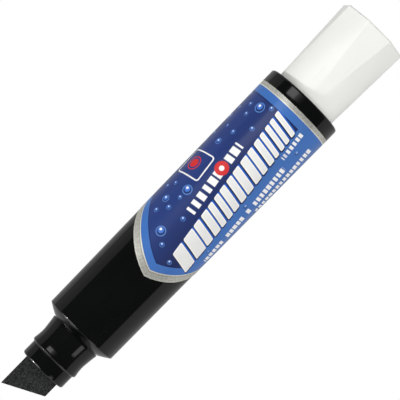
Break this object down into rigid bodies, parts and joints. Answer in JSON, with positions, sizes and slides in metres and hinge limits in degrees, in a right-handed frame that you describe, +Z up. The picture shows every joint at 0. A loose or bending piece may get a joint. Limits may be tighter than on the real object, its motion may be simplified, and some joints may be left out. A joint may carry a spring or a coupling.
{
  "type": "jumbo chisel-tip marker",
  "caption": "Jumbo felt chisel-tip marker: tapered black barrel with a wrapped printed label, waisted neck, and a round-to-octagonal pull-off cap pushed on the rear.",
  "frame": {"origin": "on the surface that the marker lies on, below the middle of its overall length with the cap on the rear", "axes": "+X along the marker from the nib to the cap, +Z up through the middle of the label's face, +Y towards the nib's long corner"},
  "size_m": [0.1728, 0.0298, 0.0298],
  "materials": {
    "black_plastic": "glossy moulded black",
    "inked_felt": "fuzzy pressed felt, black with ink",
    "inked_fibre": "ink-soaked fibre",
    "clear_film": "thin translucent film",
    "printed_film": "laminated print, blue with a silver edge",
    "white_plastic": "satin moulded white",
    "liner_plastic": "soft natural polyethylene"
  },
  "bodies": {
    "marker_body": {"barrel": "black_plastic", "neck_section": "black_plastic", "nib_holder": "black_plastic", "nib": "inked_felt", "ink_reservoir": "inked_fibre", "reservoir_wrap": "clear_film", "rear_plug": "black_plastic", "label": "printed_film"},
    "cap_slider": {"cap_liner": "liner_plastic"},
    "cap": {"cap_shell": "white_plastic"}
  },
  "joints": [
    {"name": "cap_slide", "type": "slide", "parent": "marker_body", "child": "cap_slider", "axis": [1, 0, 0], "range_m": [0, 0.02]},
    {"name": "cap_spin", "type": "hinge", "parent": "cap_slider", "child": "cap", "pos_m": [0.0699, 0, 0.0149], "axis": [1, 0, 0], "continuous": true}
  ]
}
